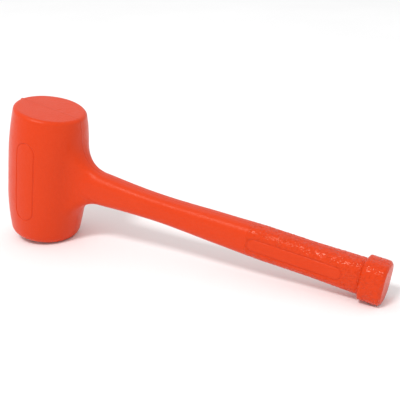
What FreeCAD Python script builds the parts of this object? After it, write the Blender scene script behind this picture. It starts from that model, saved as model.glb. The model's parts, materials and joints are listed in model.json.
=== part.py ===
import FreeCAD, Part
import math
import os

from FreeCAD import Vector

# Dead blow mallet, in millimetres.
#
# Design frame: the head's centre is the origin, the head's axis is Z and the handle runs along +X.
# place_at_rest() then tips every piece about Y into the pose that the mallet takes on a bench, where it
# touches with the rim of its lower face and with its pommel, and puts the bench at z = 0.

# ---- Head of the urethane jacket ----
# The two ends differ: 1 is the upper end, -1 the lower one.
HEAD_RADIUS = 35.6
HEAD_LENGTH = 120.6
BAND_REACH = {1: 20.0, -1: 12.5}        # parallel band, measured from the head's middle
FACE_RADIUS = {1: 31.9, -1: 30.3}       # at the striking face, before its edge is rounded
FACE_EDGE_ROUND = {1: 3.7, -1: 7.4}
UPPER_FACE_LEAN = 3.4                   # degrees out of square, lower on the handle's side

# ---- Handle, grip and pommel of the urethane jacket ----
OVAL_POWER = 3.0                # squareness of the handle's oval: 2 is an ellipse
OVAL_POINTS = 24
NECK_X = 62.0                   # where the neck's flare meets the straight handle
NECK_HALF_HEIGHT = 14.0
NECK_HALF_WIDTH = 11.0
NECK_ROUND_HEIGHT = 27.0        # flare radius seen from the side
NECK_ROUND_WIDTH = 20.0         # flare radius seen from above
NECK_FLARE_ANGLES = (75, 60, 45, 30, 15, 0)     # degrees along the flare's arc
NECK_ROOT_X = 28.0              # the flare's hidden end, inside the head
HANDLE_STATIONS = (             # x, half height, half width
    (80.0, 12.7, 10.6),
    (120.0, 11.2, 10.0),
    (170.0, 12.6, 10.6),
    (215.0, 13.8, 11.0),
    (260.0, 13.7, 11.0),
)
POMMEL_STEP_X = 299.3
POMMEL_STEP_RUN = 2.0
POMMEL_END_X = 319.3
POMMEL_CHAMFER = 2.0
GRIP_END_HALF = (14.4, 11.6)    # half height, half width just before the pommel
HANDLE_SPANS = 24               # between the sections that the handle is lofted through
POMMEL_HALF = (17.5, 14.8)

# ---- Panels outlined by a groove, on both sides of the head and of the grip ----
# Their sizes run to the middle of the groove.
PANEL_GROOVE_DEPTH = 0.5
PANEL_GROOVE_HALF_WIDTH = 0.8
HEAD_PANEL_HALF_LENGTH = 36.9
HEAD_PANEL_HALF_WIDTH = 8.9
GRIP_PANEL_XS = (205.0, 285.5)
GRIP_PANEL_HALF_WIDTH = 5.5

# ---- Steel canister in the head ----
TUBE_RADIUS = 25.4
TUBE_WALL = 3.15
TUBE_LENGTH = 76.0
CAP_FLANGE = 2.5
CAP_SPIGOT = 3.0
CAP_EDGE_CHAMFER = 0.8
SEAM_BEAD_RADIUS = 2.2
SEAM_BEAD_PROUD = 1.3

# ---- Steel core of the handle ----
ROD_RADIUS = 6.35
ROD_END_X = 309.5
ROD_END_CHAMFER = 1.2
BOSS_RADIUS = 11.0
BOSS_END_X = 39.0
BOSS_WELD_LEG = 3.0
ROD_WELD_LEG = 2.5
ROD_GROOVE_XS = (150.0, 162.0, 174.0, 230.0, 242.0, 254.0)
ROD_GROOVE_DEPTH = 0.9
ROD_GROOVE_RADIUS = 1.8
WASHER_RADIUS = 10.5
WASHER_THICKNESS = 3.0
WASHER_X = 302.5

# ---- Steel shot in the canister ----
BALL_RADIUS = 3.175
BALL_GAP = 0.03                 # between neighbouring balls
SHOT_LAYERS = 9
CHARGE_GAP = 0.3                # between the charge and the canister, at the ends and at the wall

HEAD_HALF = HEAD_LENGTH / 2
TUBE_BORE = TUBE_RADIUS - TUBE_WALL
FLOOR_Z = CAP_SPIGOT - TUBE_LENGTH / 2
CEILING_Z = -FLOOR_Z
BALL_PITCH = 2 * BALL_RADIUS + BALL_GAP
LAYER_PITCH = BALL_PITCH * math.sqrt(2 / 3)
CHARGE_HEIGHT = (SHOT_LAYERS - 1) * LAYER_PITCH + 2 * BALL_RADIUS
CHARGE_TRAVEL = CEILING_Z - FLOOR_Z - CHARGE_HEIGHT - 2 * CHARGE_GAP

X_AXIS = Vector(1, 0, 0)
Y_AXIS = Vector(0, 1, 0)
Z_AXIS = Vector(0, 0, 1)
ORIGIN = Vector(0, 0, 0)


# ---- Head ----

def barrel_arc(side):
    """Radius of the arc that tapers the barrel from its band to the face on that side."""
    rise, drop = HEAD_HALF - BAND_REACH[side], HEAD_RADIUS - FACE_RADIUS[side]
    return (rise ** 2 + drop ** 2) / (2 * drop)


def barrel(inset=0.0):
    """The head's solid with sharp face edges, its side moved inwards by inset."""
    end_z = {1: HEAD_HALF + FACE_RADIUS[1] * math.sin(math.radians(UPPER_FACE_LEAN)), -1: HEAD_HALF}

    def arc_points(side):
        """Start, middle and end of the taper towards the face on that side."""
        radius = barrel_arc(side)
        centre_x = HEAD_RADIUS - radius - inset
        full_angle = math.asin((end_z[side] - BAND_REACH[side]) / radius)
        return [Vector(centre_x + radius * math.cos(share * full_angle), 0,
                       side * (BAND_REACH[side] + radius * math.sin(share * full_angle)))
                for share in (0, 0.5, 1)]

    lower, upper = arc_points(-1)[::-1], arc_points(1)
    profile = Part.Wire([
        Part.makeLine(Vector(0, 0, -HEAD_HALF), lower[0]),
        Part.Arc(*lower).toShape(),
        Part.makeLine(lower[2], upper[0]),
        Part.Arc(*upper).toShape(),
        Part.makeLine(upper[2], Vector(0, 0, end_z[1])),
        Part.makeLine(Vector(0, 0, end_z[1]), Vector(0, 0, -HEAD_HALF)),
    ])
    above = Part.makeBox(4 * HEAD_RADIUS, 4 * HEAD_RADIUS, HEAD_RADIUS, Vector(-2, -2, 0) * HEAD_RADIUS)
    above = above.rotated(ORIGIN, Y_AXIS, UPPER_FACE_LEAN).translated(Z_AXIS * HEAD_HALF)
    return Part.Face(profile).revolve(ORIGIN, Z_AXIS, 360).cut(above)


def head():
    solid = barrel()
    for side in (1, -1):
        striking_face = max(solid.Faces, key=lambda face: side * face.CenterOfMass.z)
        solid = solid.makeFillet(FACE_EDGE_ROUND[side], striking_face.Edges)
    return solid


# ---- Handle ----

def oval(x, half_height, half_width):
    """Closed smooth wire: the handle's rounded oval section at x."""
    points = []
    for step in range(OVAL_POINTS):
        angle = 2 * math.pi * step / OVAL_POINTS
        across, up = math.cos(angle), math.sin(angle)
        reach = (abs(across) ** OVAL_POWER + abs(up) ** OVAL_POWER) ** (-1 / OVAL_POWER)
        points.append(Vector(x, half_width * across * reach, half_height * up * reach))
    curve = Part.BSplineCurve()
    parameters = [step / OVAL_POINTS for step in range(OVAL_POINTS + 1)]
    curve.interpolate(Points=points, PeriodicFlag=True, Parameters=parameters)
    return Part.Wire(curve.toShape())


def neck_half_width(x):
    """Half width of the neck at x: an arc that is tangent to the head's side and to the handle."""
    centre_y = NECK_HALF_WIDTH + NECK_ROUND_WIDTH
    centre_x = math.sqrt((HEAD_RADIUS + NECK_ROUND_WIDTH) ** 2 - centre_y ** 2)
    run = max(centre_x - x, 0.0)
    return centre_y - math.sqrt(NECK_ROUND_WIDTH ** 2 - run ** 2)


def neck_sections():
    """Sections of the flared neck as x, half height, half width, from inside the head outwards."""
    sections = []
    for angle in map(math.radians, NECK_FLARE_ANGLES):
        x = NECK_X - NECK_ROUND_HEIGHT * math.sin(angle)
        half_height = NECK_HALF_HEIGHT + NECK_ROUND_HEIGHT * (1 - math.cos(angle))
        sections.append((x, half_height, neck_half_width(x)))
    root = (NECK_ROOT_X, sections[0][1], neck_half_width(NECK_ROOT_X))
    return [root, *sections]


def handle_sections():
    """Evenly spaced sections on one smooth curve through the handle's stations."""
    neck_end = (NECK_X, NECK_HALF_HEIGHT, NECK_HALF_WIDTH)
    stations = [neck_end, *HANDLE_STATIONS, (POMMEL_STEP_X, *GRIP_END_HALF)]
    curve = Part.BSplineCurve()
    curve.interpolate([Vector(*station) for station in stations])
    first, last = curve.FirstParameter, curve.LastParameter
    spacing = (last - first) / HANDLE_SPANS
    return [tuple(curve.value(first + spacing * step)) for step in range(HANDLE_SPANS + 1)]


def handle(inset=0.0):
    """The neck, handle and grip, their side moved inwards by inset, as two solids end to end."""
    return [Part.makeLoft([oval(x, height - inset, width - inset) for x, height, width in sections], True)
            for sections in (neck_sections(), handle_sections())]


def pommel():
    height, width = POMMEL_HALF
    wires = [
        oval(POMMEL_STEP_X, *GRIP_END_HALF),
        oval(POMMEL_STEP_X + POMMEL_STEP_RUN, height, width),
        oval(POMMEL_END_X - POMMEL_CHAMFER, height, width),
        oval(POMMEL_END_X, height - POMMEL_CHAMFER, width - POMMEL_CHAMFER),
    ]
    return Part.makeLoft(wires, True, True)


# ---- Panel grooves ----

def stadium_prism(centre_x, half_length, half_width, direction):
    """Round-ended slot shape through the whole width of the mallet, its length along direction."""
    across = direction.cross(Y_AXIS)
    centre = Vector(centre_x, -2 * HEAD_RADIUS, 0)
    run = direction * (half_length - half_width)
    corners = [centre + run * a + across * (half_width * b) for a, b in ((-1, -1), (1, -1), (1, 1), (-1, 1))]
    far_end, near_end = centre + direction * half_length, centre - direction * half_length
    outline = Part.Wire([
        Part.makeLine(corners[0], corners[1]),
        Part.Arc(corners[1], far_end, corners[2]).toShape(),
        Part.makeLine(corners[2], corners[3]),
        Part.Arc(corners[3], near_end, corners[0]).toShape(),
    ])
    return Part.Face(outline).extrude(Y_AXIS * (4 * HEAD_RADIUS))


def outline_prism(centre_x, half_length, half_width, direction):
    """Wall as thick as a groove is wide, standing on a panel's outline."""
    outer, inner = (stadium_prism(centre_x, half_length + side, half_width + side, direction)
                    for side in (PANEL_GROOVE_HALF_WIDTH, -PANEL_GROOVE_HALF_WIDTH))
    return outer.cut(inner)


def panel_grooves():
    """What is cut from both sides of the head and of the grip."""
    start, end = GRIP_PANEL_XS
    head_outline = outline_prism(0, HEAD_PANEL_HALF_LENGTH, HEAD_PANEL_HALF_WIDTH, Z_AXIS)
    grip_outline = outline_prism((start + end) / 2, (end - start) / 2, GRIP_PANEL_HALF_WIDTH, X_AXIS)
    return [head_outline.cut(barrel(PANEL_GROOVE_DEPTH)), grip_outline.cut(handle(PANEL_GROOVE_DEPTH))]


# ---- Canister ----

def canister_envelope():
    """The closed canister with no inside, which the jacket is cast round."""
    half = TUBE_LENGTH / 2 + CAP_FLANGE
    return Part.makeCylinder(TUBE_RADIUS, 2 * half, Vector(0, 0, -half))


def canister_tube():
    half = TUBE_LENGTH / 2
    outside = Part.makeCylinder(TUBE_RADIUS, TUBE_LENGTH, Vector(0, 0, -half))
    return outside.cut(Part.makeCylinder(TUBE_BORE, TUBE_LENGTH, Vector(0, 0, -half)))


def canister_cap(side):
    """Stepped cap: a spigot inside the tube and a flange over its end. side is 1 above, -1 below."""
    face_z = side * TUBE_LENGTH / 2
    outwards = Z_AXIS * side
    flange = Part.makeCylinder(TUBE_RADIUS, CAP_FLANGE, Vector(0, 0, face_z), outwards)
    spigot = Part.makeCylinder(TUBE_BORE, CAP_SPIGOT, Vector(0, 0, face_z), outwards * -1)
    cap = flange.fuse(spigot).removeSplitter()
    inner_rim = [edge for edge in cap.Edges
                 if edge.BoundBox.ZLength < 0.01 and abs(edge.BoundBox.ZMax - side * CEILING_Z) < 0.01]
    return cap.makeChamfer(CAP_EDGE_CHAMFER, inner_rim)


def seam_bead(side):
    """Weld bead round the joint between the tube and a cap."""
    middle = TUBE_RADIUS + SEAM_BEAD_PROUD - SEAM_BEAD_RADIUS
    ring = Part.makeTorus(middle, SEAM_BEAD_RADIUS, Vector(0, 0, side * TUBE_LENGTH / 2))
    return ring.cut(canister_envelope())


# ---- Handle core ----

def rod_bar(radius, end_x):
    """Plain round bar from inside the canister's wall to end_x."""
    return Part.makeCylinder(radius, end_x - TUBE_BORE, Vector(TUBE_BORE, 0, 0), X_AXIS)


def handle_rod():
    """Round bar, coped to the canister, with rolled grooves that key the urethane."""
    rod = rod_bar(ROD_RADIUS, ROD_END_X)
    end_rim = [edge for edge in rod.Edges if edge.BoundBox.XMin > ROD_END_X - 0.01]
    rod = rod.makeChamfer(ROD_END_CHAMFER, end_rim)
    ring_radius = ROD_RADIUS - ROD_GROOVE_DEPTH + ROD_GROOVE_RADIUS
    grooves = [Part.makeTorus(ring_radius, ROD_GROOVE_RADIUS, Vector(x, 0, 0), X_AXIS)
               for x in ROD_GROOVE_XS]
    return rod.cut([canister_envelope(), *grooves])


def rod_boss():
    """Collar, coped to the canister, that the rod stands in."""
    return rod_bar(BOSS_RADIUS, BOSS_END_X).cut([canister_envelope(), rod_bar(ROD_RADIUS, ROD_END_X)])


def boss_weld():
    """Fillet weld round the collar's foot, on the canister."""
    collar = rod_bar(BOSS_RADIUS, BOSS_END_X)
    joined = canister_envelope().fuse(collar).removeSplitter()
    foot = [edge for edge in joined.Edges
            if edge.BoundBox.XMin > 0 and edge.BoundBox.XLength > 1 and edge.BoundBox.ZLength > 1]
    return joined.makeFillet(BOSS_WELD_LEG, foot).cut([canister_envelope(), collar])


def cone_weld(start_x, leg):
    """Fillet weld round the rod, on a face that looks along +X at start_x."""
    cone = Part.makeCone(ROD_RADIUS + leg, ROD_RADIUS, leg, Vector(start_x, 0, 0), X_AXIS)
    return cone.cut(rod_bar(ROD_RADIUS, ROD_END_X))


def anchor_washer():
    """Washer on the rod that keeps the pommel from being pulled off."""
    disc = Part.makeCylinder(WASHER_RADIUS, WASHER_THICKNESS, Vector(WASHER_X, 0, 0), X_AXIS)
    return disc.cut(rod_bar(ROD_RADIUS, ROD_END_X))


# ---- Shot ----

def shot_layer(index):
    """One close-packed layer of balls. Odd layers sit in the hollows of the even ones."""
    reach = TUBE_BORE - BALL_RADIUS - CHARGE_GAP
    row_pitch = BALL_PITCH * math.sqrt(3) / 2
    shift = Vector(BALL_PITCH / 2, row_pitch / 3, 0) * (index % 2)
    z = FLOOR_Z + CHARGE_GAP + BALL_RADIUS + index * LAYER_PITCH
    most = math.ceil(reach / row_pitch) + 1
    balls = []
    for row in range(-most, most + 1):
        for place in range(-most, most + 1):
            centre = Vector((place + 0.5 * (row % 2)) * BALL_PITCH, row * row_pitch, 0) + shift
            if centre.Length <= reach:
                balls.append(Part.makeSphere(BALL_RADIUS, centre + Z_AXIS * z))
    return Part.makeCompound(balls)


# ---- Assembly ----

def steel_pieces():
    pieces = {
        "canister_tube": canister_tube(),
        "canister_cap_upper": canister_cap(1),
        "canister_cap_lower": canister_cap(-1),
        "cap_weld_upper": seam_bead(1),
        "cap_weld_lower": seam_bead(-1),
        "rod_boss": rod_boss(),
        "boss_weld": boss_weld(),
        "handle_rod": handle_rod(),
        "rod_weld": cone_weld(BOSS_END_X, ROD_WELD_LEG),
        "anchor_washer": anchor_washer(),
        "washer_weld": cone_weld(WASHER_X + WASHER_THICKNESS, ROD_WELD_LEG),
    }
    return pieces


def urethane_jacket(steel):
    """The one-piece cast outside: head, neck, handle, grip and pommel, with the steel inside it."""
    outside = head().fuse([*handle(), pommel()]).removeSplitter()
    return outside.cut(panel_grooves()).cut([canister_envelope(), *steel.values()])


def rest_tilt():
    """Angle about Y, in degrees, that brings the lower face's rim and the pommel to one level."""
    radius, edge_round = barrel_arc(-1), FACE_EDGE_ROUND[-1]
    round_z = HEAD_HALF - edge_round
    reach = math.sqrt((radius - edge_round) ** 2 - (round_z - BAND_REACH[-1]) ** 2)
    run = POMMEL_END_X - POMMEL_CHAMFER - (HEAD_RADIUS - radius + reach)
    rise = round_z - POMMEL_HALF[0]
    return math.degrees(math.atan2(rise, run) + math.asin(edge_round / math.hypot(run, rise)))


def place_at_rest(pieces):
    """Every piece tipped onto the bench, with the origin under the middle of the mallet's box."""
    for name, shape in pieces.items():
        pieces[name] = shape.rotated(ORIGIN, Y_AXIS, rest_tilt())
    box = pieces["urethane_jacket"].optimalBoundingBox(False)
    shift = Vector(-(box.XMin + box.XMax) / 2, -(box.YMin + box.YMax) / 2, -box.ZMin)
    return {name: shape.translated(shift) for name, shape in pieces.items()}, shift


def main():
    pieces = steel_pieces()
    pieces["urethane_jacket"] = urethane_jacket(pieces)
    for index in range(SHOT_LAYERS):
        pieces[f"shot_layer_{index + 1:02d}"] = shot_layer(index)
    pieces, shift = place_at_rest(pieces)
    os.makedirs("parts", exist_ok=True)
    for name, shape in pieces.items():
        shape.exportStep(f"parts/{name}.step")
        print(f"{name}: {len(shape.Solids)} solids, {shape.Volume / 1000:.2f} cm3, valid {shape.isValid()}")
    print(f"tilt {rest_tilt():.4f} deg, shift {shift}, shot travel {CHARGE_TRAVEL:.3f} mm")


main()
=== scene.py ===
import json
import math

import bmesh
import bpy
import numpy as np
from mathutils import Matrix, Vector, noise


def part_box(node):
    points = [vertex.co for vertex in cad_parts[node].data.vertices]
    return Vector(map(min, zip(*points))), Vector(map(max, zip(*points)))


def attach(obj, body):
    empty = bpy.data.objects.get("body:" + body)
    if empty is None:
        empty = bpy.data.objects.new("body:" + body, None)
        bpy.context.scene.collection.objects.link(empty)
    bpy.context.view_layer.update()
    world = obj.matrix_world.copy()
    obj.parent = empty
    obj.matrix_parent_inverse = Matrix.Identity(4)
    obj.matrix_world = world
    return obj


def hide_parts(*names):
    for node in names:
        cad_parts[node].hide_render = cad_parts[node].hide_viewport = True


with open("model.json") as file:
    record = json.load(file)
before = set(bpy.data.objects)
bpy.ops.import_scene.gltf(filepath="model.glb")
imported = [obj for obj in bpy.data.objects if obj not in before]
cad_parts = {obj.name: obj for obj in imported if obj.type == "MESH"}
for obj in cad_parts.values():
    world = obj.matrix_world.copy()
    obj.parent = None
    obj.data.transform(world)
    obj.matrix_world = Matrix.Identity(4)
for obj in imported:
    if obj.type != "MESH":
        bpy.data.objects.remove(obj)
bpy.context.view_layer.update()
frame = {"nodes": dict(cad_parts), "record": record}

MM = 0.001
noise.seed_set(1)           # without it noise_vector, which warps the grip's grain, follows the clock

# ---- The mallet's own frame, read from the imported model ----
# x runs along the handle from the head's centre, y across the mallet and z along the head's axis.
mounts = {mount["name"]: Vector(mount["pos_m"]) for mount in frame["record"]["mounts"]}
HEAD_CENTRE = (mounts["upper_face"] + mounts["lower_face"]) / 2
UP = (mounts["upper_face"] - mounts["lower_face"]).normalized()
OUT = (mounts["pommel_end"] - HEAD_CENTRE).normalized()
ACROSS = UP.cross(OUT)
JACKET_LOW, JACKET_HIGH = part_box("urethane_jacket")

HEAD_HALF = (mounts["upper_face"] - mounts["lower_face"]).length / 2
HEAD_RADIUS = (JACKET_HIGH.y - JACKET_LOW.y) / 2
POMMEL_END = (mounts["pommel_end"] - HEAD_CENTRE).length

# ---- Outside of the urethane jacket ----
# The head's two ends differ: 1 is the upper end, -1 the lower one.
BAND_REACH = {1: 20.0 * MM, -1: 12.5 * MM}
FACE_RADIUS = {1: 31.9 * MM, -1: 30.3 * MM}
FACE_EDGE_ROUND = {1: 3.7 * MM, -1: 7.4 * MM}
UPPER_FACE_SLOPE = math.tan(math.radians(3.4))      # out of square, lower towards the handle
UPPER_SLOPE_FADE = (44.0 * MM, 57.0 * MM)           # heights between which that slope sets in
OVAL_POWER = 3.0
NECK_ROUND_HEIGHT = 27.0 * MM
NECK_ROUND_WIDTH = 12.0 * MM        # fits the CAD's 20 mm arc, as head and handle meet there at a slant
NECK_ROUND_POWER = 2.3              # a little over 2, a circle, so that the flare starts without an edge
HANDLE_ROOT = 20.0 * MM             # the handle's shape ends here, inside the head
HANDLE_STATIONS = np.array([        # x, half height, half width
    (30.0, 14.6, 11.2),
    (62.0, 14.0, 11.0),
    (80.0, 12.7, 10.6),
    (120.0, 11.2, 10.0),
    (170.0, 12.6, 10.6),
    (215.0, 13.8, 11.0),
    (260.0, 13.7, 11.0),
    (299.3, 14.4, 11.6),
    (330.0, 15.0, 12.2),
]) * MM
POMMEL_STEP = 299.3 * MM
POMMEL_STEP_RUN = 2.0 * MM
POMMEL_CHAMFER = 2.0 * MM
POMMEL_RISE = 3.1 * MM              # how far the pommel stands out from the grip
POMMEL_GROOVE_RUN = 1.4 * MM        # the shallow groove in front of the pommel's step
POMMEL_GROOVE_MIDDLE = POMMEL_STEP - 0.1 * MM
POMMEL_GROOVE_DEPTH = 0.3 * MM
POMMEL_FACE_RIM = 2.2 * POMMEL_CHAMFER      # from the pommel's side to where its end face is plain
POMMEL_CORNER_ROUNDS = (0.45 * MM, 0.7 * MM, 1.0 * MM, 0.8 * MM)    # from the groove to the end face
GRIP_START = 203.0 * MM

HEAD_PANEL = (36.9 * MM, 8.9 * MM)  # half length, half width, to the middle of the groove
GRIP_PANEL_XS = (205.0 * MM, 285.5 * MM)
GRIP_PANEL_HALF_WIDTH = 5.5 * MM
GROOVE_HALF_WIDTH = 0.8 * MM
GROOVE_DEPTH = 0.5 * MM
PANEL_DEPTH = 0.05 * MM             # the field inside a groove lies this much lower

# ---- Mesh density ----
LINE_OFFSETS = np.array([2.0, 1.1, 0.65, 0.32, 0.0]) * MM    # vertices beside the parting line
HEAD_QUARTER = 50                   # cells round a quarter of the head
HEAD_ROWS = 44                      # cells from the middle of the head's side to its edge
EDGE_ROWS = 10
MIDDLE_ROW = EDGE_ROWS + HEAD_ROWS
NECK_CELLS = (28, 18)               # half of the neck's opening in the head: rows, columns
NECK_BLEND_CELLS = (10, 19)         # how far past that opening the flare may move the head's points
PANEL_CELLS = (36, 11)
OPENINGS = {                        # in the head's side: column of the middle, half size in rows and columns
    "neck": (HEAD_QUARTER, NECK_CELLS),
    "panel": (0, PANEL_CELLS),
    "far_panel": (2 * HEAD_QUARTER, PANEL_CELLS),
}
HANDLE_QUARTER = sum(NECK_CELLS)    # cells round a quarter of the handle, as many as round the opening
OVAL_SAMPLES = 400
NECK_RINGS = 26
NECK_END = 64.0 * MM
SHANK_SPACING = 1.3 * MM
GRIP_SPACING = 0.58 * MM
GRIP_MESH_START = GRIP_START - 3 * MM
GRIP_MESH_END = POMMEL_STEP - POMMEL_GROOVE_RUN
CORNER_POINTS = 6                   # along each rounded corner of the pommel
RELAX_ROUNDS = 30
RELAX_STEP = 0.5                    # share of the way to the neighbours' middle, in each round

# Rings of points round a panel, as distances outside (+) or inside (-) the middle of its groove
PANEL_RIM_OFFSETS = np.array([1.6, 1.1]) * MM
PANEL_GROOVE_OFFSETS = np.linspace(1.2, -1.2, 13) * GROOVE_HALF_WIDTH
PANEL_FIELD_OFFSETS = np.array([-1.3, -2.2, -3.4, -4.7, -6.0, -7.2, -8.3]) * MM
PANEL_BLEND_SHARES = (0.3, 0.6, 0.85)       # rings on the way from the opening to the outermost of these
PANEL_ARC_CELLS = 16


# ---- Shapes ----

def barrel_arc(end):
    """Radius of the arc that tapers the barrel from its band to the face at that end."""
    rise, drop = HEAD_HALF - BAND_REACH[end], HEAD_RADIUS - FACE_RADIUS[end]
    return (rise ** 2 + drop ** 2) / (2 * drop)


def barrel_radius(z):
    """Radius of the head's side at height z."""
    radius = HEAD_RADIUS
    for end in (1, -1):
        arc = barrel_arc(end)
        beyond = np.maximum(end * z - BAND_REACH[end], 0)
        radius = radius - arc + np.sqrt(arc ** 2 - beyond ** 2)
    return radius


def end_profile(end):
    """The head's side from its middle to one end and round the edge: heights and radii."""
    arc, edge_round = barrel_arc(end), FACE_EDGE_ROUND[end]
    edge_z = HEAD_HALF - edge_round
    lean = math.asin((edge_z - BAND_REACH[end]) / (arc - edge_round))
    edge_x = HEAD_RADIUS - arc + (arc - edge_round) * math.cos(lean)
    side = end * np.linspace(0, edge_z + edge_round * math.sin(lean), HEAD_ROWS + 1)
    turn = np.linspace(lean, np.pi / 2, EDGE_ROWS + 1)[1:]
    heights = np.concatenate([side, end * (edge_z + edge_round * np.sin(turn))])
    radii = np.concatenate([barrel_radius(side), edge_x + edge_round * np.cos(turn)])
    return heights, radii


def handle_half_sizes(x):
    """Half height and half width of the plain handle at x."""
    return (smooth_through(HANDLE_STATIONS[:, 0], HANDLE_STATIONS[:, 1], x),
            smooth_through(HANDLE_STATIONS[:, 0], HANDLE_STATIONS[:, 2], x))


def smooth_through(xs, ys, x):
    """Cubic curve through the points, with each point's slope taken from its neighbours."""
    slopes = np.gradient(ys, xs)
    x = np.clip(x, xs[0], xs[-1])
    k = np.clip(np.searchsorted(xs, x) - 1, 0, len(xs) - 2)
    span = xs[k + 1] - xs[k]
    t = (x - xs[k]) / span
    start = ys[k] * (1 + 2 * t) * (1 - t) ** 2 + slopes[k] * span * t * (1 - t) ** 2
    end = ys[k + 1] * t ** 2 * (3 - 2 * t) + slopes[k + 1] * span * t ** 2 * (t - 1)
    return start + end


def smooth_step(low, high, value):
    """0 up to low, 1 from high on, and a smooth rise between. With low above high it falls instead."""
    t = np.clip((value - low) / (high - low), 0, 1)
    return t * t * (3 - 2 * t)


def groove_depth(offset):
    """Depth of a panel's groove and field at a distance outside (+) or inside (-) the groove's middle."""
    groove = GROOVE_DEPTH * smooth_step(GROOVE_HALF_WIDTH, 0.25 * GROOVE_HALF_WIDTH, np.abs(offset))
    field = PANEL_DEPTH * smooth_step(GROOVE_HALF_WIDTH, -GROOVE_HALF_WIDTH, offset)
    return np.maximum(groove, field)


def jacket_distance(points):
    """Signed distance, near enough, to the head and handle joined by the neck's round flare."""
    x, y, z = points.T
    head = np.hypot(x, y) - barrel_radius(z)
    half_height, half_width = handle_half_sizes(x)
    tall = (np.abs(z) / half_height) ** OVAL_POWER
    wide = (np.abs(y) / half_width) ** OVAL_POWER
    reach = np.maximum(tall + wide, 1e-12) ** (1 / OVAL_POWER)
    slope = np.hypot(tall / np.maximum(np.abs(z), 1e-9), wide / np.maximum(np.abs(y), 1e-9))
    slope = slope * reach ** (1 - OVAL_POWER)
    handle = (reach - 1) / slope + np.maximum(HANDLE_ROOT - x, 0)
    upright = tall / (tall + wide + 1e-12)
    rounding = NECK_ROUND_WIDTH + (NECK_ROUND_HEIGHT - NECK_ROUND_WIDTH) * smooth_step(0, 1, upright)
    depths = [np.maximum(rounding - distance, 0) ** NECK_ROUND_POWER for distance in (head, handle)]
    inside = (depths[0] + depths[1]) ** (1 / NECK_ROUND_POWER)
    return np.maximum(rounding, np.minimum(head, handle)) - inside


def onto_surface(points, steps=8):
    """Moves points along the slope of jacket_distance until they lie on the surface."""
    nudge = 0.01 * MM
    for _ in range(steps):
        value = jacket_distance(points)
        slope = np.stack([
            (jacket_distance(points + shift) - jacket_distance(points - shift)) / (2 * nudge)
            for shift in np.eye(3) * nudge
        ], axis=1)
        points = points - (value / np.sum(slope ** 2, axis=1))[:, None] * slope
    return points


def quarter_steps(length, cells):
    """Distances from a side's middle (0) to the parting line (length), even and then closer together."""
    even = np.linspace(0, length - LINE_OFFSETS[0], cells - len(LINE_OFFSETS) + 2)
    return np.concatenate([even, length - LINE_OFFSETS[1:]])


def closed_ring(quarter, total):
    """Distances round a whole ring whose four quarters mirror each other."""
    half = np.concatenate([quarter, total / 2 - quarter[-2::-1]])
    return np.concatenate([half, total - half[-2:0:-1]])


def oval_ring(x, half_height, half_width):
    """One ring round the handle, from its +y side over the top."""
    angle = np.linspace(0, np.pi / 2, OVAL_SAMPLES)
    across, up = np.cos(angle), np.sin(angle)
    reach = (across ** OVAL_POWER + up ** OVAL_POWER) ** (-1 / OVAL_POWER)
    y, z = half_width * across * reach, half_height * up * reach
    run = np.concatenate([[0], np.cumsum(np.hypot(np.diff(y), np.diff(z)))])
    at = quarter_steps(run[-1], HANDLE_QUARTER)
    y, z = np.interp(at, run, y), np.interp(at, run, z)
    y = np.concatenate([y, -y[-2::-1], -y[1:], y[-2:0:-1]])
    z = np.concatenate([z, z[-2::-1], -z[1:], -z[-2:0:-1]])
    return np.stack([np.full_like(y, x), y, z], axis=1)


def plain_ring(x, rise=0.0, size_at=None):
    """The handle's ring at x, raised, with the plain handle's size there or at another place."""
    half_height, half_width = handle_half_sizes(np.array(x if size_at is None else size_at))
    return oval_ring(x, float(half_height) + rise, float(half_width) + rise)


def even_steps(start, end, spacing):
    """Places from start to end, both included, about the given spacing apart."""
    return np.linspace(start, end, round((end - start) / spacing) + 1)


# ---- Mesh building ----

class Skin:
    """Points and faces of one mesh while it is being put together."""

    def __init__(self):
        self.blocks, self.count, self.faces = [], 0, []

    def add(self, points):
        self.blocks.append(np.asarray(points, dtype=float))
        self.count += len(points)
        return np.arange(self.count - len(points), self.count)

    def points(self):
        return np.concatenate(self.blocks)

    def bridge(self, first, second):
        """Quads between two closed rings of the same number of points."""
        after_first, after_second = np.roll(first, -1), np.roll(second, -1)
        self.faces += np.stack([first, after_first, after_second, second], axis=1).tolist()

    def grid(self, index, keep=None):
        """Quads of a grid of point numbers. keep marks the cells that are wanted."""
        cells = np.stack([index[:-1, :-1], index[:-1, 1:], index[1:, 1:], index[1:, :-1]], axis=-1)
        self.faces += (cells.reshape(-1, 4) if keep is None else cells[keep]).tolist()

    def cap(self, ring):
        """Closes a flat ring with a square grid whose middle line lies on the parting line."""
        side = len(ring) // 4
        turn = np.roll(ring, side // 2)
        sides = [turn[k * side:(k + 1) * side + 1] for k in range(3)]
        sides.append(np.append(turn[3 * side:], turn[0]))
        bottom, right, top, left = sides[0], sides[1], sides[2][::-1], sides[3][::-1]
        points = self.points()
        u = np.linspace(0, 1, side + 1)[None, :, None]
        v = np.linspace(0, 1, side + 1)[:, None, None]
        edges = ((1 - v) * points[bottom][None] + v * points[top][None]
                 + (1 - u) * points[left][:, None] + u * points[right][:, None])
        corners = ((1 - u) * (1 - v) * points[bottom[0]] + u * (1 - v) * points[bottom[-1]]
                   + (1 - u) * v * points[top[0]] + u * v * points[top[-1]])
        spots = edges - corners
        index = np.empty((side + 1, side + 1), dtype=int)
        index[0], index[-1], index[:, 0], index[:, -1] = bottom, top, left, right
        index[1:-1, 1:-1] = self.add(spots[1:-1, 1:-1].reshape(-1, 3)).reshape(side - 1, side - 1)
        self.grid(index)


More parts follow.
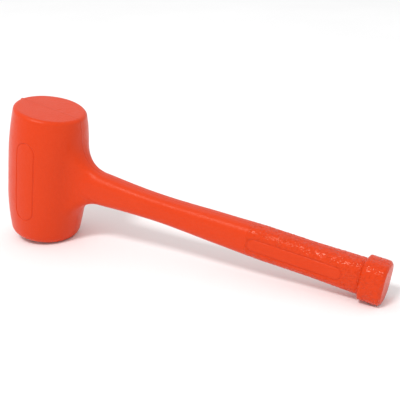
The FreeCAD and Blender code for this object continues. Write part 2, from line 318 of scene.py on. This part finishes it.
def opening_loop(index, name):
    """Point numbers round an opening in the head's grid, from its middle side over the top."""
    column, (rows, columns) = OPENINGS[name]
    row, width = MIDDLE_ROW, index.shape[1]
    up = [(row + k, column - columns) for k in range(rows)]
    along = [(row + rows, column + k) for k in range(-columns, columns)]
    down = [(row + k, column + columns) for k in range(rows, -rows, -1)]
    back = [(row - rows, column + k) for k in range(columns, -columns, -1)]
    close = [(row + k, column - columns) for k in range(-rows, 0)]
    return np.array([index[r, c % width] for r, c in up + along + down + back + close])


def stadium_ring(offset, straight_cells):
    """A ring at an offset from the middle of a panel's groove: its distances round the head and along it."""
    half_length, half_width = HEAD_PANEL
    straight, radius = half_length - half_width, half_width + offset
    turn = np.linspace(0, np.pi / 2, PANEL_ARC_CELLS + 1)[1:]
    s = np.concatenate([np.full(straight_cells + 1, radius), radius * np.cos(turn)])
    z = np.concatenate([np.linspace(0, straight, straight_cells + 1), straight + radius * np.sin(turn)])
    s = np.concatenate([s, -s[-2::-1], -s[1:], s[-2:0:-1]])
    z = np.concatenate([z, z[-2::-1], -z[1:], -z[-2:0:-1]])
    return -s, z


def add_panel(skin, index, angles, heights, name):
    """Fills an opening in the head's side with a sunken stadium-shaped panel."""
    loop = opening_loop(index, name)
    middle_angle = angles[OPENINGS[name][0]]
    row, column = np.divmod(loop - index[0, 0], len(angles))
    loop_s = ((angles[column] - middle_angle + np.pi) % (2 * np.pi) - np.pi) * HEAD_RADIUS
    loop_z = heights[row]
    quarter = len(loop) // 4
    straight_cells = quarter - PANEL_ARC_CELLS

    def ring(s, z, depth):
        angle = middle_angle + s / HEAD_RADIUS
        radius = barrel_radius(z) - depth
        return skin.add(np.stack([radius * np.sin(angle), radius * np.cos(angle), z], axis=1))

    previous = loop
    outside_s, outside_z = stadium_ring(PANEL_RIM_OFFSETS[0], straight_cells)
    for share in PANEL_BLEND_SHARES:
        current = ring(loop_s + (outside_s - loop_s) * share, loop_z + (outside_z - loop_z) * share, 0)
        skin.bridge(previous, current)
        previous = current
    for offset in np.concatenate([PANEL_RIM_OFFSETS, PANEL_GROOVE_OFFSETS, PANEL_FIELD_OFFSETS]):
        current = ring(*stadium_ring(offset, straight_cells), float(groove_depth(offset)))
        skin.bridge(previous, current)
        previous = current
    right = np.roll(previous, quarter)[:2 * quarter + 1]
    left = previous[quarter:3 * quarter + 1][::-1]
    for k in range(2 * quarter):
        corner = [right[k], right[k + 1], left[k + 1], left[k]]
        skin.faces.append(list(dict.fromkeys(int(c) for c in corner)))


def add_head(skin):
    """The barrel, its faces and its panels, with an opening for the neck: the grid of point numbers."""
    girth = 2 * np.pi * HEAD_RADIUS
    angles = closed_ring(quarter_steps(girth / 4, HEAD_QUARTER), girth) / HEAD_RADIUS
    (lower_z, lower_radii), (upper_z, upper_radii) = end_profile(-1), end_profile(1)
    heights = np.concatenate([lower_z[:0:-1], upper_z])
    radii = np.concatenate([lower_radii[:0:-1], upper_radii])
    rows, columns = len(heights), len(angles)
    grid = np.stack([
        radii[:, None] * np.sin(angles)[None], radii[:, None] * np.cos(angles)[None],
        np.repeat(heights[:, None], columns, axis=1),
    ], axis=-1)
    grid[..., 2] -= UPPER_FACE_SLOPE * grid[..., 0] * smooth_step(*UPPER_SLOPE_FADE, grid[..., 2])
    index = skin.add(grid.reshape(-1, 3)).reshape(rows, columns)

    keep = np.ones((rows - 1, columns), dtype=bool)
    for column, (half_rows, half_columns) in OPENINGS.values():
        for k in range(-half_columns, half_columns):
            keep[MIDDLE_ROW - half_rows:MIDDLE_ROW + half_rows, (column + k) % columns] = False
    skin.grid(np.concatenate([index, index[:, :1]], axis=1), keep)
    skin.cap(index[0])
    skin.cap(index[-1])
    for name in ("panel", "far_panel"):
        add_panel(skin, index, angles, heights, name)
    return index


def add_neck(skin, index):
    """Rings from the head's opening to the handle: the last one, and the points that may still move."""
    column, (rows, columns) = OPENINGS["neck"]
    rings = [opening_loop(index, "neck")]
    start, end = skin.points()[rings[0]], plain_ring(NECK_END)
    for share in np.linspace(0, 1, NECK_RINGS + 1)[1:]:
        rings.append(skin.add(start + (end - start) * share))
        skin.bridge(rings[-2], rings[-1])
    reach_rows, reach_columns = rows + NECK_BLEND_CELLS[0], columns + NECK_BLEND_CELLS[1]
    near_neck = index[MIDDLE_ROW - reach_rows:MIDDLE_ROW + reach_rows + 1,
                      column - reach_columns:column + reach_columns + 1]
    return rings[-1], np.concatenate([near_neck.ravel(), *rings[1:-1]])


def add_handle(skin, neck_ring):
    """The shank, the grip and the pommel with its end face."""
    shank_xs = even_steps(NECK_END, GRIP_MESH_START, SHANK_SPACING)[1:]
    grip_xs = even_steps(GRIP_MESH_START, GRIP_MESH_END, GRIP_SPACING)[1:]
    rings = [plain_ring(x) for x in np.concatenate([shank_xs, grip_xs])]
    rings += [plain_ring(x, rise, size_at=POMMEL_STEP) for x, rise in pommel_path()]
    previous = neck_ring
    for ring in rings:
        current = skin.add(ring)
        skin.bridge(previous, current)
        previous = current
    skin.cap(previous)


def pommel_path():
    """Points (x, rise above the grip) along the pommel's side: its groove, its step, its band and its end."""
    corners = [
        (GRIP_MESH_END, 0.0),
        (POMMEL_GROOVE_MIDDLE, -POMMEL_GROOVE_DEPTH),
        (POMMEL_STEP + POMMEL_STEP_RUN, POMMEL_RISE),
        (POMMEL_END - POMMEL_CHAMFER, POMMEL_RISE),
        (POMMEL_END, POMMEL_RISE - POMMEL_CHAMFER),
        (POMMEL_END, POMMEL_RISE - POMMEL_FACE_RIM),
    ]
    path = []
    for k, size in enumerate(POMMEL_CORNER_ROUNDS, start=1):
        before, corner, after = (np.array(corners[i]) for i in (k - 1, k, k + 1))
        enter = corner + (before - corner) / np.linalg.norm(before - corner) * size
        leave = corner + (after - corner) / np.linalg.norm(after - corner) * size
        if path:
            last = path[-1]
            cells = max(1, round(np.linalg.norm(enter - last) / GRIP_SPACING))
            path += [last + (enter - last) * t for t in np.linspace(0, 1, cells + 1)[1:-1]]
        path += [enter * (1 - t) ** 2 + corner * 2 * t * (1 - t) + leave * t ** 2
                 for t in np.linspace(0, 1, CORNER_POINTS)]
    return path


def relax(skin, free_numbers):
    """Evens out the free points on the joined surface; those beside the parting line keep their y."""
    points = skin.points()
    faces = np.array([face for face in skin.faces if len(face) == 4])
    free_numbers = np.intersect1d(free_numbers, faces)
    free = np.zeros(len(points), dtype=bool)
    free[free_numbers] = True
    pairs = np.concatenate([faces[:, [0, 1]], faces[:, [1, 2]], faces[:, [2, 3]], faces[:, [3, 0]]])
    pairs = pairs[free[pairs].any(axis=1)]
    pairs = np.unique(np.sort(pairs, axis=1), axis=0)
    points[free_numbers] = onto_surface(points[free_numbers])
    beside_line = free & (np.abs(points[:, 1]) < LINE_OFFSETS[0] * 1.05)
    kept_y = points[beside_line, 1].copy()
    for _ in range(RELAX_ROUNDS):
        total, number = np.zeros_like(points), np.zeros(len(points))
        for a, b in ((0, 1), (1, 0)):
            np.add.at(total, pairs[:, a], points[pairs[:, b]])
            np.add.at(number, pairs[:, a], 1)
        goal = total[free_numbers] / number[free_numbers, None]
        points[free_numbers] += RELAX_STEP * (goal - points[free_numbers])
        points[beside_line, 1] = kept_y
        points[free_numbers] = onto_surface(points[free_numbers], steps=2)
        points[beside_line, 1] = kept_y
    return points


# ---- Relief on the jacket ----

GRAIN_CELL = 2.6 * MM
GRAIN_HEIGHT = 0.08 * MM
GRAIN_TILT = 0.22                   # slope of the most tilted pads, times two
GRAIN_CREASE = 0.4                  # width of the creases between the pads, in cells
GRAIN_WARP = 0.5                    # how far the pads are shifted out of their pattern, in cells
GRAIN_WARP_SCALE = 0.8
GRAIN_FADE = 2 * MM                 # the grain sets in over this much on either side of the grip's start
TILT_SPREAD = 9.7                   # sets the pads' centres apart, so that neighbours tilt differently

GRIP_PANEL_GRAIN = 0.12             # share of the grain that is left inside a grip panel
GRIP_PANEL_FADE = 1.2 * MM          # the rest of it comes back over this much outside the panel's line
POMMEL_BAND_LOSS = 0.2              # share of the grain that is lost on the pommel's band
POMMEL_FACE_LOSS = 0.6              # and, on top of that, on its end face

LINE_HEIGHT = 0.16 * MM
LINE_HALF_WIDTH = 0.42 * MM
LINE_CHANGE = 6 * MM                # the parting line's height changes over about this length
LINE_SHARE, LINE_UNEVENNESS = 0.75, 0.5
WAVE_HEIGHT = 0.10 * MM
WAVE_LENGTHS = (24 * MM, 9 * MM)
SHORT_WAVE_SHARE = 0.4
GRIP_GROOVE_SCALE = 1.3             # the grip's panel lines are a little deeper than the head's
PANEL_GROOVE_SHADE = 0.3                    # strength of the painted shade in a panel's groove, next to that along the parting line
HEAD_FLANK = 30 * MM                # the panels lie further out than this, to either side
GRIP_FLANK = 7 * MM
NUB_PLACE = np.array([-FACE_RADIUS[1] + 0.5 * MM, 0, HEAD_HALF + 1.0 * MM])
NUB_HEIGHT = 0.7 * MM
NUB_RADIUS = 1.4 * MM


def at_each(points, function):
    """The function's values at the points, one after the other."""
    return np.array([function(Vector(point)) for point in points])


def leather_grain(points):
    """Wrinkled leather: its height in metres at each point, and how flat (1) or creased (0) it is there."""
    def pad(point):
        spot = point / GRAIN_CELL
        spot = spot + GRAIN_WARP * noise.noise_vector(spot * GRAIN_WARP_SCALE)
        near, centres = noise.voronoi(spot, distance_metric="DISTANCE")
        edge = min((near[1] - near[0]) / GRAIN_CREASE, 1.0)
        flat = edge * (2 - edge)
        tilt = noise.cell_vector(centres[0] * TILT_SPREAD) - Vector((0.5, 0.5, 0.5))
        lean = GRAIN_TILT * GRAIN_CELL * tilt.dot(spot - centres[0])
        return GRAIN_HEIGHT * (flat - 0.5) + lean * flat, flat
    return at_each(points, pad).T


def stadium_distance(along, across, half_length, half_width):
    """Distance outside the middle of a panel's groove, measured from the panel's centre."""
    beyond = np.maximum(np.abs(along) - (half_length - half_width), 0)
    return np.hypot(beyond, across) - half_width


def parting_line(points):
    """How far the parting line stands out at each point, from 0 to a little over 1."""
    y = points[:, 1]
    on_line = np.flatnonzero(np.abs(y) < 3 * LINE_HALF_WIDTH)
    uneven = at_each(points[on_line], lambda p: LINE_SHARE + LINE_UNEVENNESS * noise.noise(p / LINE_CHANGE))
    seam = np.zeros(len(points))
    seam[on_line] = uneven * np.exp(-(y[on_line] / LINE_HALF_WIDTH) ** 2)
    return seam


def grip_relief(points):
    """Height of the grip's surface, its masks for texture and creases, and the depth of its panel lines."""
    x, y, z = points.T
    start = smooth_step(GRIP_START - GRAIN_FADE, GRIP_START + GRAIN_FADE, x)
    grain, flat = leather_grain(points)
    calm = 1 - POMMEL_BAND_LOSS * smooth_step(POMMEL_STEP, POMMEL_STEP + POMMEL_STEP_RUN, x)
    calm -= POMMEL_FACE_LOSS * smooth_step(POMMEL_END - POMMEL_CHAMFER, POMMEL_END, x)
    panel_start, panel_end = GRIP_PANEL_XS
    outside = stadium_distance(x - (panel_start + panel_end) / 2, z,
                               (panel_end - panel_start) / 2, GRIP_PANEL_HALF_WIDTH)
    outside[np.abs(y) < GRIP_FLANK] = np.inf
    calm *= GRIP_PANEL_GRAIN + (1 - GRIP_PANEL_GRAIN) * smooth_step(0, GRIP_PANEL_FADE, outside)
    groove = groove_depth(outside)
    height = start * (grain * calm - GRIP_GROOVE_SCALE * groove)
    return height, start * calm, start * calm * (1 - flat), groove


def relief(points):
    """Height of the surface detail at each point, and masks of the grip's texture, creases and lines."""
    x, y, z = points.T
    long_wave, short_wave = (at_each(points, lambda p: noise.noise(p / length)) for length in WAVE_LENGTHS)
    waves = long_wave + SHORT_WAVE_SHARE * short_wave
    seam = parting_line(points)
    height = WAVE_HEIGHT * waves + LINE_HEIGHT * seam

    on_grip = np.flatnonzero(x > GRIP_START - GRAIN_FADE)
    grip, crease, grip_groove = np.zeros((3, len(points)))
    grip_height, grip[on_grip], crease[on_grip], grip_groove[on_grip] = grip_relief(points[on_grip])
    height[on_grip] += grip_height

    head_groove = np.where(np.abs(y) > HEAD_FLANK, groove_depth(stadium_distance(z, x, *HEAD_PANEL)), 0)
    # The panels' grooves add to the seam mask, which paints shade into the colour
    for groove in (grip_groove, head_groove):
        seam = np.maximum(seam, PANEL_GROOVE_SHADE * groove / GROOVE_DEPTH)
    height += NUB_HEIGHT * np.exp(-np.sum((points - NUB_PLACE) ** 2, axis=1) / NUB_RADIUS ** 2)
    return height, {"grip": grip, "crease": crease, "seam": seam}


def mesh_object(name, points, faces):
    """A smooth-shaded object in the scene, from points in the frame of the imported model."""
    mesh = bpy.data.meshes.new(name)
    mesh.from_pydata(points.tolist(), [], faces)
    mesh.polygons.foreach_set("use_smooth", [True] * len(mesh.polygons))
    mesh.update()
    piece = bpy.data.objects.new(name, mesh)
    bpy.context.scene.collection.objects.link(piece)
    return piece


def in_packed_frame(points):
    """Points of the mallet's own frame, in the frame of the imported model."""
    basis = np.array([OUT, ACROSS, UP])
    return points @ basis + np.array(HEAD_CENTRE)


def facing_out(points, faces):
    """The faces, wound so that they look away from the inside, and the points' outward normals."""
    work = bmesh.new()
    spots = [work.verts.new(point) for point in points]
    for face in faces:
        work.faces.new([spots[k] for k in face])
    bmesh.ops.recalc_face_normals(work, faces=work.faces)
    work.verts.index_update()
    turned = [[vertex.index for vertex in face.verts] for face in work.faces]
    work.normal_update()
    normals = np.array([vertex.normal for vertex in work.verts])
    work.free()
    return turned, normals


def build_jacket():
    """The urethane jacket as one skin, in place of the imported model's plain one."""
    skin = Skin()
    head = add_head(skin)
    neck_ring, free_numbers = add_neck(skin, head)
    add_handle(skin, neck_ring)
    points = relax(skin, free_numbers)
    used = np.unique(np.concatenate([np.array(face) for face in skin.faces]))
    renumber = np.full(len(points), -1)
    renumber[used] = np.arange(len(used))
    points = points[used]
    faces, normals = facing_out(points, [renumber[np.array(face)].tolist() for face in skin.faces])
    height, masks = relief(points)
    jacket = mesh_object("jacket_casting", in_packed_frame(points + normals * height[:, None]), faces)
    for name, mask in masks.items():
        jacket.data.attributes.new(name, "FLOAT", "POINT").data.foreach_set("value", mask)
    jacket.data.materials.append(urethane_material())
    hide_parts("urethane_jacket")
    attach(jacket, "mallet")


# ---- Materials ----

class Nodes:
    """Short ways to add and join shader nodes of one material."""

    def __init__(self, name):
        self.material = bpy.data.materials.new(name)
        self.material.use_nodes = True
        self.tree = self.material.node_tree
        self.shader = self.tree.nodes["Principled BSDF"]
        self.place = self.tree.nodes.new("ShaderNodeTexCoord").outputs["Object"]

    def add(self, kind, inputs=None, **settings):
        node = self.tree.nodes.new(kind)
        for key, value in settings.items():
            setattr(node, key, value)
        for key, value in (inputs or {}).items():
            self.set(node.inputs[key], value)
        return node

    def set(self, socket, value):
        """Joins the socket to another one, or gives it a plain value."""
        if isinstance(value, bpy.types.NodeSocket):
            self.tree.links.new(value, socket)
        else:
            socket.default_value = value

    def noise(self, scale, detail=3.0, roughness=0.5, stretch=None):
        """Noise from 0 to 1 with the given number of cells per metre."""
        where = self.place
        if stretch is not None:
            where = self.add("ShaderNodeMapping", {"Vector": self.place, "Scale": stretch}).outputs[0]
        inputs = {"Vector": where, "Scale": scale, "Detail": detail, "Roughness": roughness}
        return self.add("ShaderNodeTexNoise", inputs).outputs["Fac"]

    def pads(self, scale, warp):
        """Height in metres of small flat pads, each tilted its own way, with the given number per metre."""
        swirl = self.add("ShaderNodeTexNoise", {"Vector": self.place, "Scale": 0.6 * scale}).outputs["Color"]
        where = self.vector_math("MULTIPLY_ADD", swirl, (warp / scale,) * 3, self.place)["Vector"]
        cell = self.add("ShaderNodeTexVoronoi", {"Vector": where, "Scale": scale}).outputs
        tilt = self.vector_math("SUBTRACT", cell["Color"], (0.5, 0.5, 0.5))["Vector"]
        spot = self.vector_math("SUBTRACT", where, cell["Position"])["Vector"]
        lean = self.vector_math("DOT_PRODUCT", tilt, spot)["Value"]
        return self.math("MULTIPLY", lean, self.spread(cell["Distance"], 0.4, 0.7, 1.0, 0.0))

    def mask(self, name):
        """One of the masks stored on the mesh."""
        return self.add("ShaderNodeAttribute", attribute_name=name).outputs["Fac"]

    def spread(self, value, low, high, new_low, new_high):
        """Stretches the values from low to high over the new ones, and cuts off the rest."""
        inputs = {"Value": value, "From Min": low, "From Max": high, "To Min": new_low, "To Max": new_high}
        return self.add("ShaderNodeMapRange", inputs).outputs["Result"]

    def math(self, operation, first, second):
        return self.add("ShaderNodeMath", {0: first, 1: second}, operation=operation).outputs[0]

    def vector_math(self, operation, *values):
        return self.add("ShaderNodeVectorMath", dict(enumerate(values)), operation=operation).outputs

    def mix(self, share, first, second):
        inputs = {"Factor": share, "A": first, "B": second}
        return self.add("ShaderNodeMix", inputs, data_type="RGBA").outputs["Result"]

    def bump(self, height, distance, below=None):
        """Normal of a height, in metres once it is multiplied by the distance, on top of another bump."""
        inputs = {"Height": height, "Distance": distance}
        if below is not None:
            inputs["Normal"] = below
        return self.add("ShaderNodeBump", inputs).outputs["Normal"]

    def finish(self, **inputs):
        """Sets the shader's own inputs and gives back the material."""
        for key, value in inputs.items():
            self.set(self.shader.inputs[key.replace("_", " ")], value)
        return self.material


URETHANE = (0.665, 0.043, 0.005, 1.0)
# A deeper tone: used for the random mottle, and as painted shade in the grain's creases
URETHANE_MOTTLE_AND_CREASE_SHADE = (0.61, 0.036, 0.003, 1.0)
URETHANE_CLOUDY = (0.675, 0.050, 0.008, 1.0)
# Painted shade along the parting line and in the panels' grooves
URETHANE_SEAM_SHADE = (0.45, 0.020, 0.004, 1.0)
URETHANE_TINT = (1.0, 0.84, 0.68, 1.0)      # of its reflections


def urethane_material():
    """Satin cast urethane: faintly clouded colour, painted shade in the creases, along the parting line and
    in the panel grooves, orange-peel skin and light scuffs.
    """
    n = Nodes("urethane_orange")
    clouds = n.spread(n.noise(22.0, detail=4.0), 0.35, 0.7, 0.0, 0.55)
    colour = n.mix(clouds, URETHANE, URETHANE_CLOUDY)
    mottle = n.spread(n.noise(420.0, detail=2.0), 0.3, 0.75, 0.0, 0.3)
    colour = n.mix(mottle, colour, URETHANE_MOTTLE_AND_CREASE_SHADE)
    crease = n.mask("crease")
    # Painted shade: the colour darkens in the grain's creases
    colour = n.mix(n.spread(crease, 0.3, 1.0, 0.0, 0.35), colour, URETHANE_MOTTLE_AND_CREASE_SHADE)
    # Painted shade: the colour darkens along the parting line and in the panels' grooves
    colour = n.mix(n.spread(n.mask("seam"), 0.1, 0.9, 0.0, 0.6), colour, URETHANE_SEAM_SHADE)
    grip = n.mask("grip")
    scratches = n.noise(160.0, detail=6.0, roughness=0.7, stretch=(1.0, 0.25, 1.0))
    scuffs = n.spread(scratches, 0.56, 0.72, 0.0, 0.12)
    roughness = n.math("ADD", n.spread(n.noise(60.0, detail=3.0), 0.3, 0.7, 0.34, 0.40), scuffs)
    roughness = n.math("ADD", roughness, n.spread(grip, 0.2, 0.9, 0.0, -0.22))
    roughness = n.math("ADD", roughness, n.spread(crease, 0.2, 0.9, -0.05, 0.12))
    smooth = n.math("SUBTRACT", 1.0, n.math("MULTIPLY", grip, 0.7))
    peel = n.bump(n.math("MULTIPLY", n.noise(800.0, detail=2.0), smooth), 0.00030)
    fine = n.bump(n.noise(3800.0, detail=2.0), 0.00001, below=peel)
    wrinkles = n.bump(n.math("MULTIPLY", n.noise(850.0, detail=2.0), grip), 0.00015, below=fine)
    normal = n.bump(n.math("MULTIPLY", n.pads(430.0, warp=0.8), grip), 0.70, below=wrinkles)
    return n.finish(Base_Color=colour, Roughness=roughness, Normal=normal,
                    Specular_IOR_Level=0.26, Specular_Tint=URETHANE_TINT)


def steel_material(name, colour, roughness, stretch, scale):
    """Worked steel: a grain that the stretch gives a direction, and patches of thin oxide."""
    n = Nodes(name)
    dark = tuple(0.6 * value for value in colour[:3]) + (1.0,)
    oxide = n.spread(n.noise(90.0, detail=5.0, roughness=0.6), 0.42, 0.7, 0.0, 0.8)
    grain = n.noise(scale, detail=4.0, stretch=stretch)
    shade = n.mix(oxide, colour, dark)
    rough = n.math("ADD", n.spread(grain, 0.3, 0.7, roughness - 0.06, roughness + 0.08),
                   n.math("MULTIPLY", oxide, 0.18))
    return n.finish(Base_Color=shade, Metallic=1.0, Roughness=rough, Normal=n.bump(grain, 0.00003))


def weld_material():
    """Weld bead: dark scale with ripples across the run."""
    n = Nodes("weld_bead")
    ripple = n.noise(700.0, detail=3.0, roughness=0.6)
    patch = n.spread(n.noise(150.0, detail=4.0), 0.35, 0.65, 0.0, 1.0)
    shade = n.mix(patch, (0.16, 0.14, 0.14, 1.0), (0.34, 0.30, 0.26, 1.0))
    rough = n.spread(ripple, 0.3, 0.7, 0.45, 0.7)
    return n.finish(Base_Color=shade, Metallic=0.85, Roughness=rough, Normal=n.bump(ripple, 0.00025))


# Slot in the record: material, colour, roughness, stretch of the grain, grains per metre
STEELS = {
    "tube_steel": ("tube_steel_drawn", (0.42, 0.42, 0.43, 1.0), 0.38, (1.0, 1.0, 0.06), 900.0),
    "cap_steel": ("cap_steel_turned", (0.50, 0.50, 0.51, 1.0), 0.32, (0.3, 0.3, 1.0), 1400.0),
    "rod_steel": ("rod_steel_rolled", (0.36, 0.36, 0.37, 1.0), 0.42, (0.05, 1.0, 1.0), 1100.0),
    "shot_steel": ("shot_steel_tumbled", (0.55, 0.55, 0.56, 1.0), 0.22, (1.0, 1.0, 1.0), 1800.0),
}


def dress_steel():
    """Gives every hidden steel node the material of its slot in the record."""
    materials = {slot: steel_material(*look) for slot, look in STEELS.items()}
    materials["weld_steel"] = weld_material()
    slots = {part["node"]: part["material_slot"] for part in frame["record"]["subparts"]}
    for node, piece in frame["nodes"].items():
        if slots[node] in materials:
            for material_slot in piece.material_slots:
                material_slot.material = materials[slots[node]]


# ---- Floor, lights and camera ----

FLOOR_HALF_SIZE = 12.0
FLOOR_CELLS = 24
FLOOR_SHADES = ((0.90, 0.90, 0.90, 1.0), (0.93, 0.93, 0.93, 1.0))


def build_floor():
    """A wide sheet of white paper under the mallet."""
    steps = np.linspace(-FLOOR_HALF_SIZE, FLOOR_HALF_SIZE, FLOOR_CELLS + 1)
    x, y = np.meshgrid(steps, steps)
    points = np.stack([x.ravel(), y.ravel(), np.zeros(x.size)], axis=1)
    index = np.arange(x.size).reshape(x.shape)
    corners = np.stack([index[:-1, :-1], index[:-1, 1:], index[1:, 1:], index[1:, :-1]], axis=-1)
    floor = mesh_object("floor", points, corners.reshape(-1, 4).tolist())
    n = Nodes("floor_paper")
    shade = n.mix(n.spread(n.noise(3.0), 0.3, 0.7, 0.0, 1.0), *FLOOR_SHADES)
    fibres = n.bump(n.noise(900.0), 0.0001)
    floor.data.materials.append(n.finish(Base_Color=shade, Roughness=0.9, Normal=fibres))


LIGHT_PLACE = Vector((-0.32, -2.26, 3.3))
LIGHT_AIM = Vector((0.0, 0.0, 0.06))
LIGHT_SIZE = (0.82, 0.74)
LIGHT_POWER = 79.0      # watts


def build_softbox():
    """The one lamp, high up in front of the mallet."""
    data = bpy.data.lights.new("overhead_softbox", "AREA")
    data.shape, data.size, data.size_y, data.energy = "RECTANGLE", *LIGHT_SIZE, LIGHT_POWER
    light = bpy.data.objects.new("overhead_softbox", data)
    light.location = LIGHT_PLACE
    light.rotation_mode = "QUATERNION"
    light.rotation_quaternion = (LIGHT_AIM - LIGHT_PLACE).to_track_quat("-Z", "Y")
    bpy.context.scene.collection.objects.link(light)


# The white tent's strength rises between two heights of the direction looked in, where 1 is straight up.
TENT_STRENGTH = {"From Min": 0.3, "From Max": 0.75, "To Min": 0.80, "To Max": 0.88}


def build_world():
    """White tent, a little brighter overhead than towards the horizon."""
    world = bpy.data.worlds.new("studio")
    world.use_nodes = True
    nodes, links = world.node_tree.nodes, world.node_tree.links
    background = nodes["Background"]
    background.inputs["Color"].default_value = (1.0, 1.0, 1.0, 1.0)
    direction = nodes.new("ShaderNodeSeparateXYZ")
    links.new(nodes.new("ShaderNodeTexCoord").outputs["Generated"], direction.inputs["Vector"])
    strength = nodes.new("ShaderNodeMapRange")
    for name, value in TENT_STRENGTH.items():
        strength.inputs[name].default_value = value
    links.new(direction.outputs["Z"], strength.inputs["Value"])
    links.new(strength.outputs["Result"], background.inputs["Strength"])
    bpy.context.scene.world = world


CAMERA_AZIMUTH, CAMERA_ELEVATION, CAMERA_ROLL = 27.34, 21.87, -1.11     # degrees
CAMERA_AIM = Vector((15.9, 0.0, 60.2)) * MM
CAMERA_DISTANCE = 682.6 * MM
CAMERA_LENS = 73.70
CAMERA_SENSOR = 36.0


def build_camera():
    """The camera, at the distance from its aim and turned by its roll."""
    azimuth, elevation = math.radians(CAMERA_AZIMUTH), math.radians(CAMERA_ELEVATION)
    back = Vector((math.sin(azimuth) * math.cos(elevation), -math.cos(azimuth) * math.cos(elevation),
                   math.sin(elevation)))
    data = bpy.data.cameras.new("camera")
    data.lens, data.sensor_width = CAMERA_LENS, CAMERA_SENSOR
    camera = bpy.data.objects.new("camera", data)
    camera.location = CAMERA_AIM + back * CAMERA_DISTANCE
    camera.rotation_mode = "QUATERNION"
    level = (-back).to_track_quat("-Z", "Y")
    camera.rotation_quaternion = level @ Matrix.Rotation(math.radians(CAMERA_ROLL), 3, "Z").to_quaternion()
    bpy.context.scene.collection.objects.link(camera)
    bpy.context.scene.camera = camera


build_camera()
build_jacket()
dress_steel()
build_floor()
build_softbox()
build_world()
bpy.context.scene.view_settings.view_transform = "Standard"
